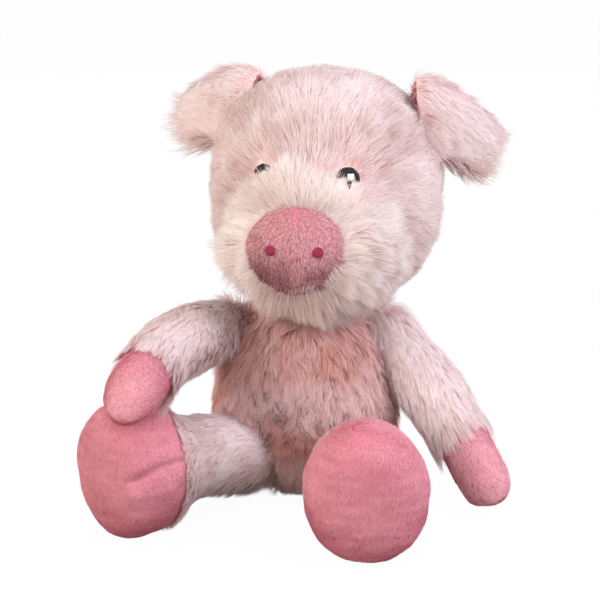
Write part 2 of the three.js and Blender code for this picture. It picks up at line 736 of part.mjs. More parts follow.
function makeEar(name, side) {
  const hinge = hinges[name];
  const fur = clearedOf(earPanel(side, 0, EAR_FUR_WALL), headShell, hinge);
  const lining = clearedOf(earPanel(side, -CLEARANCE - PILE_WALL, -CLEARANCE), headShell, hinge);
  return [piece(name + "_fur", fur, FUR), piece(name + "_lining", lining, LINING)];
}

// Limbs, cut clear of the torso through their whole swing

function torsoObstacle(limb) {
  const room = seat(limb.pivot, limb.ballRadius + CLEARANCE / 2, BALL_SIDES);
  return stuffed(torsoForm, -4 * CLEARANCE).subtract(room);
}

function makeArmPieces(name) {
  const arm = limbs[name];
  const obstacle = torsoObstacle(arm);
  const cuff = arm.length * cuffShares[name];
  const sleeve = arm.sleeve(arm.root, cuff, FUR_WALL);
  return [
    piece(name + "_sleeve", clearedOf(sleeve, obstacle, hinges[name]), FUR),
    piece(name + "_mitt", arm.cap(cuff + CLEARANCE, PILE_WALL), PILE),
    piece(name + "_stuffing", clearedOf(arm.core(FUR_WALL + CLEARANCE), obstacle, hinges[name]), STUFFING),
  ];
}

function makeLegPieces(name) {
  const leg = limbs[name];
  const obstacle = torsoObstacle(leg);
  const ankle = leg.length - FOOT_THICKNESS;
  const soleSeam = leg.length - FOOT_TIP_ROUND;
  const foot = name.replace("leg", "foot");
  const sleeve = leg.sleeve(leg.root, ankle, FUR_WALL);
  const upper = leg.sleeve(ankle + CLEARANCE, soleSeam, PILE_WALL);
  return [
    piece(name + "_sleeve", clearedOf(sleeve, obstacle, hinges[name]), FUR),
    piece(foot + "_upper", aboveFloor(upper), PILE),
    piece(foot + "_sole", aboveFloor(leg.cap(soleSeam + CLEARANCE, PILE_WALL)), PILE),
    piece(name + "_stuffing", clearedOf(leg.core(FUR_WALL + CLEARANCE), obstacle, hinges[name]), STUFFING),
  ];
}

// Tail: a tapering roll that leaves the back straight and then curls round

class TailCurve extends THREE.Curve {
  constructor(root) {
    super();
    this.root = root;
  }

  getPoint(share) {
    const curl = Math.max(0, share - TAIL_STRAIGHT_SHARE) / (1 - TAIL_STRAIGHT_SHARE);
    const turn = 2 * Math.PI * TAIL_TURNS_SHARE * curl;
    const straight = Math.min(1, share / TAIL_STRAIGHT_SHARE);
    const back = TAIL_PITCH * TAIL_TURNS_SHARE * share + TAIL_REACH * straight;
    return vec(
      this.root.x + TAIL_CURL_RADIUS * Math.sin(turn),
      this.root.y + back - TAIL_SINK,
      this.root.z + TAIL_CURL_RADIUS * (Math.cos(turn) - 1),
    );
  }
}

function makeTail() {
  const curve = new TailCurve(hinges.tail.pivot);
  const frames = curve.computeFrenetFrames(TAIL_RINGS);
  const rings = frames.tangents.map((_, k) => {
    const share = k / TAIL_RINGS;
    const centre = curve.getPointAt(share);
    const closing = Math.sqrt(Math.max(0, 1 - Math.pow(share, TAIL_TIP_FULLNESS)));
    const radius = TAIL_RADIUS * (1 - TAIL_TAPER_SHARE * share) * closing;
    if (radius < POINT_SIZE) return [centre];
    return Array.from({ length: TAIL_SIDES }, (_, i) => {
      const turn = (2 * Math.PI * i) / TAIL_SIDES;
      return centre
        .clone()
        .addScaledVector(frames.normals[k], radius * Math.cos(turn))
        .addScaledVector(frames.binormals[k], radius * Math.sin(turn));
    });
  });
  const roll = loft([[curve.getPointAt(0)], ...rings]);
  return [piece("tail", clearedOf(roll, stuffed(torsoForm, -CLEARANCE), hinges.tail), PILE)];
}

// Assembly: each body's group stands at its hinge's pivot, so that turning the group swings the body

function body(parent, hinge, pieces) {
  const group = new THREE.Group();
  const { pivot } = hinge;
  group.userData = hinge;
  group.position.copy(pivot).sub(parent.userData.pivot);
  for (const mesh of pieces) {
    mesh.geometry.translate(-pivot.x, -pivot.y, -pivot.z);
    group.add(mesh);
  }
  parent.add(group);
  return group;
}

const pig = new THREE.Group();
pig.userData = { pivot: vec(0, 0, 0) };
const torso = body(pig, pig.userData, makeTorso());
const neck = body(torso, hinges.neck, [piece("neck_roll", ball(neckCentre, NECK_RADIUS, NECK_SIDES), RUFF)]);
const head = body(neck, hinges.head, [...makeHead(), ...makeFace()]);
body(head, hinges.ear_left, makeEar("ear_left", 1));
body(head, hinges.ear_right, makeEar("ear_right", -1));
for (const arm of ["arm_left", "arm_right"]) body(torso, hinges[arm], makeArmPieces(arm));
for (const leg of ["leg_left", "leg_right"]) body(torso, hinges[leg], makeLegPieces(leg));
body(torso, hinges.tail, makeTail());

// The origin is on the floor, under the middle of the toy
const middle = new THREE.Box3().setFromObject(pig, true).getCenter(vec(0, 0, 0));
pig.position.set(-middle.x, -middle.y, 0);

export default pig;
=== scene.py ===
import itertools
import json
import math
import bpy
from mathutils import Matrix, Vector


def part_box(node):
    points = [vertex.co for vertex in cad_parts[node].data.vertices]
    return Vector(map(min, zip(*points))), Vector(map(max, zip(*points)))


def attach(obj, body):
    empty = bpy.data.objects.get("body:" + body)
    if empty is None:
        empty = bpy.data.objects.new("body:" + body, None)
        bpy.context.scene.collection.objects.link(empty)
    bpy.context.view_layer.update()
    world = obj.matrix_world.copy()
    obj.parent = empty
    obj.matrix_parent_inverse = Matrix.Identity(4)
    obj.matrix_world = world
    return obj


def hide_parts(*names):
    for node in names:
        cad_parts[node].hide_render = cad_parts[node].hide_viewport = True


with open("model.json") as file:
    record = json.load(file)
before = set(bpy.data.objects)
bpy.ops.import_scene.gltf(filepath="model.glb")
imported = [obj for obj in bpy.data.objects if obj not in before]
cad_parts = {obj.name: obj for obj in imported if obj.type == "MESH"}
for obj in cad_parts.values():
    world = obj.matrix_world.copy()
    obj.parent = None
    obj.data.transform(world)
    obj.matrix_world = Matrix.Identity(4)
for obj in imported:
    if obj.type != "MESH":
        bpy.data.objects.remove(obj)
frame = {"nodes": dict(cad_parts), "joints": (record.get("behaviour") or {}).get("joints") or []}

import zlib

import bmesh
import bpy
import numpy as np
from mathutils import Vector
from mathutils.bvhtree import BVHTree
from mathutils.kdtree import KDTree

MM = 0.001
UP = np.array([0.0, 0.0, 1.0])
HEAD_HALF_HEIGHT = 58 * MM
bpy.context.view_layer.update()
joints = {j["name"]: j for j in frame["joints"]}


# Places taken from the frame

def middle(node):
    low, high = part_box(node)
    return np.array((low + high) / 2)


def unit(v):
    return v / np.maximum(np.linalg.norm(v, axis=-1, keepdims=True), 1e-9)


def rising(values, low, high):
    """0 up to the low value, rising to 1 at the high one."""
    return np.clip((values - low) / (high - low), 0, 1)


head_across = -np.array(joints["head_nod"]["axis"])
head_forward = np.cross(head_across, UP)
head_low, head_high = (np.array(corner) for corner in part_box("head_skin"))
head_middle = np.array([*((head_low + head_high) / 2)[:2], head_high[2] - HEAD_HALF_HEIGHT])
snout_middle = middle("snout_skin")
torso_middle = middle("torso_skin")


# Camera, floor and light

CAMERA_TARGET = Vector((1.4, 37.7, 105)) * MM
CAMERA_DISTANCE = 750 * MM
CAMERA_ELEVATION = math.radians(15)
CAMERA_LENS = 81
CAMERA_SENSOR = 36
ROOM_LIGHT = 0.62
FLOOR_GLOW = 0.97
FLOOR_SEEN = (0.97, 0.97, 0.97, 1)
FLOOR_BOUNCE = (0.42, 0.36, 0.31, 1)
FLOOR_HALF = 12.0

# Each lamp's place and size in m, its power in W and its colour
LAMPS = {
    "top_lamp": ((0.3, -0.9, 2.4), 1.6, 14, (1, 0.99, 0.98)),
    "front_lamp": ((0, -1.9, 1.2), 1.6, 11, (1, 0.97, 0.95)),
    "left_lamp": ((-1.6, -0.8, 0.7), 1, 19, (1, 0.84, 0.7)),
    "right_lamp": ((1.6, -0.8, 0.9), 1, 25, (0.9, 0.89, 1)),
    "back_lamp": ((0.5, 1.9, 1.3), 1.6, 14, (1, 0.97, 0.96)),
}


def make_camera():
    data = bpy.data.cameras.new("camera")
    data.lens = CAMERA_LENS
    data.sensor_width = CAMERA_SENSOR
    camera = bpy.data.objects.new("camera", data)
    back = Vector((0, -math.cos(CAMERA_ELEVATION), math.sin(CAMERA_ELEVATION)))
    camera.location = CAMERA_TARGET + back * CAMERA_DISTANCE
    camera.rotation_euler = (-back).to_track_quat("-Z", "Y").to_euler()
    bpy.context.scene.collection.objects.link(camera)
    bpy.context.scene.camera = camera


def make_lamp(name, place, size, power, colour):
    data = bpy.data.lights.new(name, "AREA")
    data.shape = "DISK"
    data.size = size
    data.energy = power
    data.color = colour
    lamp = bpy.data.objects.new(name, data)
    lamp.location = place
    lamp.rotation_euler = (CAMERA_TARGET - Vector(place)).to_track_quat("-Z", "Y").to_euler()
    bpy.context.scene.collection.objects.link(lamp)


def make_studio():
    scene = bpy.context.scene
    scene.view_settings.view_transform = "Standard"
    world = bpy.data.worlds.new("studio")
    world.use_nodes = True
    nodes, links = world.node_tree.nodes, world.node_tree.links
    path = nodes.new("ShaderNodeLightPath")
    strength = nodes.new("ShaderNodeMath")
    strength.operation = "MULTIPLY_ADD"
    strength.inputs[1].default_value = 1 - ROOM_LIGHT
    strength.inputs[2].default_value = ROOM_LIGHT
    links.new(path.outputs["Is Camera Ray"], strength.inputs[0])
    links.new(strength.outputs[0], nodes["Background"].inputs["Strength"])
    nodes["Background"].inputs["Color"].default_value = (1, 1, 1, 1)
    scene.world = world
    for name, lamp in LAMPS.items():
        make_lamp(name, *lamp)
    make_floor()


def make_floor():
    """A pale floor that the camera sees as nearly white, and that throws back a duller light."""
    material, nodes, links, shader = new_material("floor")
    shader.inputs["Roughness"].default_value = 0.9
    glow = nodes.new("ShaderNodeEmission")
    glow.inputs["Color"].default_value = (1, 1, 1, 1)
    glow.inputs["Strength"].default_value = 1
    path = nodes.new("ShaderNodeLightPath")
    share = nodes.new("ShaderNodeMath")
    share.operation = "MULTIPLY"
    share.inputs[1].default_value = FLOOR_GLOW
    mix = nodes.new("ShaderNodeMixShader")
    colour = blend(nodes, links, path.outputs["Is Camera Ray"], FLOOR_BOUNCE, FLOOR_SEEN)
    links.new(colour, shader.inputs["Base Color"])
    links.new(path.outputs["Is Camera Ray"], share.inputs[0])
    links.new(share.outputs[0], mix.inputs["Fac"])
    links.new(shader.outputs[0], mix.inputs[1])
    links.new(glow.outputs[0], mix.inputs[2])
    links.new(mix.outputs[0], nodes["Material Output"].inputs["Surface"])
    half = FLOOR_HALF
    points = np.array([(-half, -half, 0), (half, -half, 0), (half, half, 0), (-half, half, 0)])
    floor = object_of("floor", points, np.array([(0, 1, 2), (0, 2, 3)]), material)


# Materials

WHITE = (255, 255, 255)
STRAND_SHINE = 0.25
PILE_BUMP = 0.6 * MM


def new_material(name):
    material = bpy.data.materials.new(name)
    material.use_nodes = True
    nodes, links = material.node_tree.nodes, material.node_tree.links
    return material, nodes, links, nodes["Principled BSDF"]


def linear(colour):
    """A colour of 0 to 255 steps as the linear values that a shader takes."""
    c = np.array(colour) / 255
    return (*np.where(c <= 0.04045, c / 12.92, ((c + 0.055) / 1.055) ** 2.4), 1)


def ramp(nodes, links, source, stops):
    node = nodes.new("ShaderNodeValToRGB")
    elements = node.color_ramp.elements
    while len(elements) < len(stops):
        elements.new(0.5)
    for element, (place, colour) in zip(elements, stops):
        element.position = place
        element.color = linear(colour)
    links.new(source, node.inputs["Fac"])
    return node.outputs["Color"]


def blend(nodes, links, share, first, second):
    """Mixes two colours, each a socket or a colour, by a socket or a number."""
    node = nodes.new("ShaderNodeMix")
    node.data_type = "RGBA"
    for socket, value in zip((node.inputs["Factor"], node.inputs[6], node.inputs[7]), (share, first, second)):
        if isinstance(value, bpy.types.NodeSocket):
            links.new(value, socket)
        else:
            socket.default_value = value
    return node.outputs[2]


def strand_material(name, roots, tips, pale, deep, roughness=0.75, through=0.35):
    """Pile whose colour runs from root to tip along u, and from deep to pale tufts along v."""
    material, nodes, links, shader = new_material(name)
    uv = nodes.new("ShaderNodeUVMap")
    uv.uv_map = "OFBake"
    parts = nodes.new("ShaderNodeSeparateXYZ")
    links.new(uv.outputs["UV"], parts.inputs["Vector"])
    halfway = np.add(roots, tips) / 2
    along = ramp(nodes, links, parts.outputs["X"], [(0, roots), (0.45, halfway), (0.95, tips)])
    tint = ramp(nodes, links, parts.outputs["Y"], [(0, deep), (0.5, WHITE), (1, pale)])
    mixed = nodes.new("ShaderNodeMix")
    mixed.data_type = "RGBA"
    mixed.blend_type = "MULTIPLY"
    mixed.inputs["Factor"].default_value = 1
    links.new(along, mixed.inputs[6])
    links.new(tint, mixed.inputs[7])
    links.new(mixed.outputs[2], shader.inputs["Base Color"])
    shader.inputs["Roughness"].default_value = roughness
    shader.inputs["Specular IOR Level"].default_value = STRAND_SHINE
    glow = nodes.new("ShaderNodeBsdfTranslucent")
    links.new(mixed.outputs[2], glow.inputs["Color"])
    both = nodes.new("ShaderNodeMixShader")
    both.inputs["Fac"].default_value = through
    links.new(shader.outputs[0], both.inputs[1])
    links.new(glow.outputs[0], both.inputs[2])
    links.new(both.outputs[0], nodes["Material Output"].inputs["Surface"])
    return material


def cloth_material(name, deep, pale, patch=90, knit=900, bump=0.35, roughness=0.9, sheen=0.4):
    """Short cloth: soft patches of colour, and a fine pile in the bump."""
    material, nodes, links, shader = new_material(name)
    place = nodes.new("ShaderNodeTexCoord")
    patches = nodes.new("ShaderNodeTexNoise")
    patches.inputs["Scale"].default_value = patch
    patches.inputs["Detail"].default_value = 4
    pile = nodes.new("ShaderNodeTexNoise")
    pile.inputs["Scale"].default_value = knit
    pile.inputs["Detail"].default_value = 3
    links.new(place.outputs["Object"], patches.inputs["Vector"])
    links.new(place.outputs["Object"], pile.inputs["Vector"])
    broad = ramp(nodes, links, patches.outputs["Fac"], [(0.32, deep), (0.68, pale)])
    fine = ramp(nodes, links, pile.outputs["Fac"], [(0.3, deep), (0.7, pale)])
    links.new(blend(nodes, links, 0.4, broad, fine), shader.inputs["Base Color"])
    height = nodes.new("ShaderNodeBump")
    height.inputs["Strength"].default_value = bump
    height.inputs["Distance"].default_value = PILE_BUMP
    links.new(pile.outputs["Fac"], height.inputs["Height"])
    links.new(height.outputs["Normal"], shader.inputs["Normal"])
    shader.inputs["Roughness"].default_value = roughness
    shader.inputs["Sheen Weight"].default_value = sheen
    return material


# Meshes as arrays

def object_of(name, points, faces, material, uv=None, shading=None):
    """An object of triangles.

    Where given, each corner gets its place in the OFBake map and each point its shading normal.
    """
    mesh = bpy.data.meshes.new(name)
    mesh.vertices.add(len(points))
    mesh.vertices.foreach_set("co", np.asarray(points, np.float32).ravel())
    mesh.loops.add(faces.size)
    mesh.loops.foreach_set("vertex_index", faces.astype(np.int32).ravel())
    mesh.polygons.add(len(faces))
    mesh.polygons.foreach_set("loop_start", np.arange(0, faces.size, 3, dtype=np.int32))
    mesh.polygons.foreach_set("use_smooth", np.ones(len(faces), bool))
    if uv is not None:
        mesh.uv_layers.new(name="OFBake").data.foreach_set("uv", np.asarray(uv, np.float32).ravel())
    mesh.materials.append(material)
    mesh.update(calc_edges=True)
    mesh.validate()
    if shading is not None:
        mesh.normals_split_custom_set_from_vertices(shading.astype(np.float32))
    made = bpy.data.objects.new(name, mesh)
    bpy.context.scene.collection.objects.link(made)
    return made


def arrays_of(mesh):
    """The points and triangles of a mesh."""
    mesh.calc_loop_triangles()
    points = np.empty(len(mesh.vertices) * 3)
    mesh.vertices.foreach_get("co", points)
    faces = np.empty(len(mesh.loop_triangles) * 3, np.int32)
    mesh.loop_triangles.foreach_get("vertices", faces)
    return points.reshape(-1, 3), faces.reshape(-1, 3)


def face_vectors(points, faces):
    """Each triangle's normal, as long as twice its area."""
    a, b, c = (points[faces[:, k]] for k in range(3))
    return np.cross(b - a, c - a)


def point_normals(points, faces):
    across = face_vectors(points, faces)
    total = np.zeros_like(points)
    for axis in range(3):
        for corner in range(3):
            total[:, axis] += np.bincount(faces[:, corner], across[:, axis], len(points))
    return unit(total)


def island_labels(points, faces):
    """A number for each point, the same throughout each connected piece."""
    label = np.arange(len(points))
    while True:
        lowest = label[faces].min(1)
        new = label.copy()
        for corner in range(3):
            np.minimum.at(new, faces[:, corner], lowest)
        new = new[new]
        if (new == label).all():
            return label
        label = new


def kept_faces(points, faces, keep):
    faces = faces[keep]
    used, renumbered = np.unique(faces, return_inverse=True)
    return points[used], renumbered.reshape(-1, 3)


EVENING = 0.6
SKIN_SWELL = 0.3 * MM
CLOTH_FRAMES = 20
CLOTH_PRESSURE = 4
CLOTH_EVENING = 3


def evened(values, faces, rounds):
    """Averages what each point holds with what its neighbours hold."""
    sides = np.concatenate([faces[:, [0, 1]], faces[:, [1, 2]], faces[:, [2, 0]]])
    pairs = np.unique(np.sort(sides, axis=1), axis=0)
    ends = np.concatenate([pairs, pairs[:, ::-1]])
    count = np.bincount(ends[:, 0], minlength=len(values))[:, None]
    moved = values.copy()
    for _ in range(rounds):
        near = np.stack([np.bincount(ends[:, 0], moved[ends[:, 1], k], len(values)) for k in range(3)], 1)
        moved += EVENING * (near / count - moved)
    return moved


def smoothed(points, faces, rounds):
    """Evens a mesh out over its neighbours, then swells it back to where it stood on average."""
    moved = evened(points, faces, rounds)
    normals = point_normals(moved, faces)
    lost = ((points - moved) * normals).sum(1).mean()
    return moved + normals * lost


def outer_skin(nodes, voxel):
    """An object of quads: the outer surface of some CAD solids together."""
    bm = bmesh.new()
    for node in nodes:
        part = bmesh.new()
        part.from_mesh(frame["nodes"][node].data)
        bmesh.ops.remove_doubles(part, verts=part.verts, dist=1e-6)
        part.normal_update()
        for vert in part.verts:
            vert.co += vert.normal * SKIN_SWELL
        copy = bpy.data.meshes.new("copy")
        part.to_mesh(copy)
        part.free()
        bm.from_mesh(copy)
        bpy.data.meshes.remove(copy)
    mesh = bpy.data.meshes.new("solids")
    bm.to_mesh(mesh)
    bm.free()
    solids = bpy.data.objects.new("solids", mesh)
    bpy.context.scene.collection.objects.link(solids)
    remesh = solids.modifiers.new("remesh", "REMESH")
    remesh.mode = "VOXEL"
    remesh.voxel_size = voxel
    skin_mesh = bpy.data.meshes.new_from_object(solids.evaluated_get(bpy.context.evaluated_depsgraph_get()))
    bpy.data.objects.remove(solids)
    bpy.data.meshes.remove(mesh)
    label = island_labels(*arrays_of(skin_mesh))
    best = np.bincount(label).argmax()
    bm = bmesh.new()
    bm.from_mesh(skin_mesh)
    bmesh.ops.delete(bm, geom=[v for v in bm.verts if label[v.index] != best], context="VERTS")
    bm.to_mesh(skin_mesh)
    bm.free()
    skin = bpy.data.objects.new("skin", skin_mesh)
    bpy.context.scene.collection.objects.link(skin)
    return skin


def seam_field(points, nodes):
    """The node that owns each point, and how far the point is from the next node's share."""
    reach = np.stack([distances(points, node) for node in nodes])
    order = np.sort(reach, axis=0)
    return reach.argmin(0), (order[1] - order[0] if len(nodes) > 1 else np.full(len(points), 1.0))


def stuffed(nodes, inner=(), voxel=4 * MM, slack=1.2 * MM, cap=2.5 * MM, finer=1, rounds=3):
    """The CAD solids' outer form as cloth, filled out by pressure and held where it is sewn."""
    skin = outer_skin([*nodes, *inner], voxel)
    points, faces = arrays_of(skin.data)
    points = smoothed(points, faces, rounds)
    points = points - point_normals(points, faces) * slack
    skin.data.vertices.foreach_set("co", points.ravel())
    sewn = skin.vertex_groups.new(name="sewn")
    for i in np.flatnonzero(seam_field(points, nodes)[1] < voxel * 0.6):
        sewn.add([int(i)], 1, "ADD")
    cloth = skin.modifiers.new("cloth", "CLOTH")
    cloth.settings.use_pressure = True
    cloth.settings.uniform_pressure_force = CLOTH_PRESSURE
    cloth.settings.vertex_group_mass = "sewn"
    cloth.settings.effector_weights.gravity = 0
    for number in range(1, CLOTH_FRAMES + 1):
        bpy.context.scene.frame_set(number)
    filled = arrays_of(skin.evaluated_get(bpy.context.evaluated_depsgraph_get()).data)[0]
    skin.modifiers.remove(cloth)
    bpy.context.scene.frame_set(1)
    move = filled - points
    long = np.linalg.norm(move, axis=1, keepdims=True)
    capped = move * np.minimum(1, cap / np.maximum(long, 1e-9))
    points = points + evened(capped, faces, CLOTH_EVENING)
    skin.data.vertices.foreach_set("co", points.ravel())
    skin.modifiers.new("finer", "SUBSURF").levels = finer
    skin.data.update()
    mesh = bpy.data.meshes.new_from_object(skin.evaluated_get(bpy.context.evaluated_depsgraph_get()))
    bpy.data.objects.remove(skin)
    made = arrays_of(mesh)
    bpy.data.meshes.remove(mesh)
    return made


def plane_of(surface, centre):
    """The outward, sideways and upward ways of a surface near a point, and its search tree."""
    points, faces = surface
    tree = BVHTree.FromPolygons(points.tolist(), faces.tolist())
    normal = np.array(tree.find_nearest(centre.tolist())[1])
    up = unit(UP - normal * (UP @ normal))
    return normal, np.cross(up, normal), up, tree


def creased(surface, centre, normal, lines):
    """Presses soft folds into a surface.

    Each line is its points (side, up) about the centre, a depth and a width, all in mm.
    """
    points, faces = surface
    side = unit(np.cross(UP, normal))
    up = np.cross(normal, side)
    flat = np.stack([(points - centre) @ side, (points - centre) @ up], 1) / MM
    facing = np.clip(point_normals(points, faces) @ normal * 2, 0, 1)
    move = np.zeros(len(points))
    for line, depth, width in lines:
        away = np.full(len(points), 1e9)
        for start, end in zip(np.array(line, float), np.array(line[1:], float)):
            way = end - start
            t = np.clip(((flat - start) @ way) / (way @ way), 0, 1)
            away = np.minimum(away, np.linalg.norm(flat - start - t[:, None] * way, axis=1) / width)
        move += depth * (0.3 * np.exp(-(away - 1.9) ** 2) - np.exp(-away ** 2))
    return points + normal * (move * facing * MM)[:, None], faces


def lumped(surface, name, cell, height):
    """Uneven stuffing: the surface moves in and out by up to the height in mm."""
    points, faces = surface
    lumps = Waves(name, cell * MM)(points)[:, 0] + 0.5 * Waves(name + "_fine", cell * 0.45 * MM)(points)[:, 0]
    return points + point_normals(points, faces) * (lumps * height * MM)[:, None], faces


def distances(points, node):
    """How far each point is from a CAD node's surface."""
    tree = BVHTree.FromPolygons(*(a.tolist() for a in arrays_of(frame["nodes"][node].data)))
    return np.array([tree.find_nearest(p)[3] for p in points.tolist()])


class Waves:
    """Smooth random vectors through space, about a cell apart."""

    def __init__(self, name, cell, cells=24):
        self.cell = cell
        self.cells = cells
        self.table = random_of(name).uniform(-1, 1, (cells, cells, cells, 3))

    def __call__(self, points):
        places = np.asarray(points) / self.cell
        low = np.floor(places).astype(int)
        share = places - low
        share = share * share * (3 - 2 * share)
        total = np.zeros_like(places)
        for corner in itertools.product((0, 1), repeat=3):
            weight = np.prod(np.where(corner, share, 1 - share), axis=1)
            at = (low + corner) % self.cells
            total += weight[:, None] * self.table[at[:, 0], at[:, 1], at[:, 2]]
        return total


def random_of(name):
    return np.random.default_rng(zlib.crc32(name.encode()))


# Pile: tapering ribbons in tufts

MOST_FACES = 190000
FLOOR_CLEARANCE = 0.5 * MM
STRAND_ROWS = {"long": np.array([0, 0.35, 0.7, 1.0]), "short": np.array([0, 0.55, 1.0])}
STRAND_TAPER = {"long": np.array([1.0, 0.95, 0.7, 0.0]), "short": np.array([1.0, 0.8, 0.0])}
TINT_STEPS = 256
TINT_PATCH = 22 * MM
TINT_TUFT = 6 * MM

# How strands differ: shares of the pile's length, width and gather, and a roll in radians
STRAND_LENGTHS = (0.75, 1.1)
STRAND_WIDTHS = (0.7, 1.3)
STRAND_GATHERS = (0.7, 1.15)
STRAND_ROLL = 0.5
LENGTH_WAVE = 0.22


def sample(points, faces, density, share, random):
    """Random places on a mesh and their normals, closer together where the share is higher."""
    vectors = face_vectors(points, faces)
    areas = np.linalg.norm(vectors, axis=1) / 2
    weights = areas * share[faces].mean(1)
    count = int(weights.sum() * density)
    picked = random.choice(len(faces), count, p=weights / weights.sum())
    a, b = random.random((2, count))
    flip = a + b > 1
    a[flip], b[flip] = 1 - a[flip], 1 - b[flip]
    corners = points[faces[picked]]
    normals = point_normals(points, faces)[faces[picked]]
    mix = np.stack([1 - a - b, a, b], 1)[:, :, None]
    return (corners * mix).sum(1), unit((normals * mix).sum(1))


def nearest(centres, places):
    tree = KDTree(len(centres))
    for i, centre in enumerate(centres.tolist()):
        tree.insert(centre, i)
    tree.balance()
    return np.array([tree.find(p)[1] for p in places.tolist()])


def curves(roots, normals, flow, lengths, lift, rows, droop):
    """Each strand's points, from standing off the skin to lying along the flow."""
    tangent = unit(flow - normals * (flow * normals).sum(1, keepdims=True))
    start = unit(normals * lift + tangent * (1 - lift))
    end = unit(normals * lift * 0.35 + tangent + np.array([0, 0, -1.0]) * droop)
    places = [roots]
    for low, high in zip(rows, rows[1:]):
        t = (low + high) / 2
        way = unit(start * (1 - t) + end * t)
        places.append(places[-1] + way * (lengths * (high - low))[:, None])
    return np.stack(places, 1)


def make_pile(name, body, slot, material, surface, *, density, length, flow, width, tuft, gather, swirl, swirl_cell,
              spread, skin_share, kind="long", lift=0.5, droop=0.15, share=None, tint=None, vary=0.1, crimp=None):
    """Strands over a surface, in pieces of few enough faces.

    density is per square mm, and length, width, tuft and swirl_cell are in mm. A strand runs along the flow,
    from standing up by the lift to hanging by the droop. gather pulls it to its tuft, and swirl and spread turn it.
    skin_share is how far its shading follows the skin. flow, length, share, tint and crimp are functions of places,
    and length may be a number.
    """
    random = random_of(name)
    points, faces = surface
    shares = np.ones(len(points)) if share is None else share(points)
    roots, normals = sample(points, faces, density * 1e6, shares, random)
    count = len(roots)
    rows = STRAND_ROWS[kind]
    wave = Waves(name + "_swirl", swirl_cell * MM)
    fine = Waves(name + "_fine", swirl_cell * 0.3 * MM)

    def grown(places, ups, spread):
        ways = flow(places, ups) + swirl * wave(places) + 0.4 * swirl * fine(places)
        ways = ways + spread * random.normal(size=ways.shape)
        long = length(places) if callable(length) else np.full(len(places), float(length))
        long = long * MM * (1 + LENGTH_WAVE * fine(places + 0.5)[:, 0]) * random.uniform(*STRAND_LENGTHS, len(places))
        return curves(places, ups, ways, long, lift, rows, droop)

    strands = grown(roots, normals, spread)
    area = count / (density * 1e6)
    tufts = random.choice(count, max(8, int(area / (tuft * MM) ** 2)), replace=False)
    leaders = grown(roots[tufts], normals[tufts], spread * 0.8)
    mine = nearest(roots[tufts], roots)
    pull = gather * (rows ** 1.3)[None, :, None] * random.uniform(*STRAND_GATHERS, (count, 1, 1))
    towards = leaders[mine] + 0.25 * (roots - roots[tufts][mine])[:, None, :]
    strands = strands + (towards - strands) * np.clip(pull, 0, 0.95)
    if crimp is not None:
        shape = (len(rows) - 1, 3)
        kinks = random.normal(size=(len(tufts), *shape))[mine] + 0.5 * random.normal(size=(count, *shape))
        strands[:, 1:] += kinks * (crimp(roots) * MM)[:, None, None]
    strands[:, 1:, 2] = np.maximum(strands[:, 1:, 2], FLOOR_CLEARANCE)

    ways = unit(np.diff(strands, axis=1, append=2 * strands[:, -1:] - strands[:, -2:-1]))
    across = unit(np.cross(ways, normals[:, None, :]) + 1e-6)
    roll = random.uniform(-STRAND_ROLL, STRAND_ROLL, count)[:, None, None]
    across = unit(across * np.cos(roll) + np.cross(ways, across) * np.sin(roll))
    half = (width / 2 * MM * random.uniform(*STRAND_WIDTHS, count))[:, None, None]
    half = half * STRAND_TAPER[kind][None, :, None]
    left, right = strands - across * half, strands + across * half
    steps = len(rows) - 1
    block = 2 * steps + 1
    corners = np.empty((count, block, 3))
    corners[:, 0:-1:2] = left[:, :-1]
    corners[:, 1:-1:2] = right[:, :-1]
    corners[:, -1] = strands[:, -1]
    facing = unit(np.cross(across, ways))
    facing *= np.where((facing * normals[:, None]).sum(-1, keepdims=True) < 0, -1, 1)
    shading = unit(normals[:, None] * skin_share + facing * (1 - skin_share))
    shades = np.empty((count, block, 3))
    shades[:, 0:-1:2] = shading[:, :-1]
    shades[:, 1:-1:2] = shading[:, :-1]
    shades[:, -1] = shading[:, -1]
    pattern = []
    for k in range(steps - 1):
        a = 2 * k
        pattern += [(a, a + 1, a + 3), (a, a + 3, a + 2)]
    pattern.append((block - 3, block - 2, block - 1))
    pattern = np.array(pattern)
    patches = Waves(name + "_patches", TINT_PATCH)(roots)[:, 0]
    patches = patches + 0.6 * Waves(name + "_tufts", TINT_TUFT)(roots)[:, 0]
    tints = 0.5 + vary * random.normal(size=count) + 2 * vary * patches + (0 if tint is None else tint(roots))
    tints = np.clip(tints, 0.02, 0.98)
    cells = (np.floor(tints * TINT_STEPS) + 0.5) / TINT_STEPS
    u = np.concatenate([np.repeat(rows[:-1], 2), rows[-1:]]) * 0.96 + 0.02
    v_side = np.array([-1, 1] * steps + [0]) * 0.3 / TINT_STEPS
    per = max(1, MOST_FACES // len(pattern))
    for number, begin in enumerate(range(0, count, per)):
        part = slice(begin, min(count, begin + per))
        held = part.stop - part.start
        faces_here = (np.arange(held)[:, None, None] * block + pattern[None]).reshape(-1, 3)
        uv = np.empty((held, block, 2))
        uv[:, :, 0] = u
        uv[:, :, 1] = cells[part, None] + v_side
        label = name if count <= per else f"{name}_{number + 1}"
        piece = object_of(label, corners[part].reshape(-1, 3), faces_here, material,
                          uv.reshape(-1, 2)[faces_here.ravel()], shades[part].reshape(-1, 3))
        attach(piece, body)


def make_base(name, body, nodes, surface, material):
    points, faces = surface
    piece = object_of(name, points, faces, material)
    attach(piece, body)
    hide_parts(*nodes)


# Colours

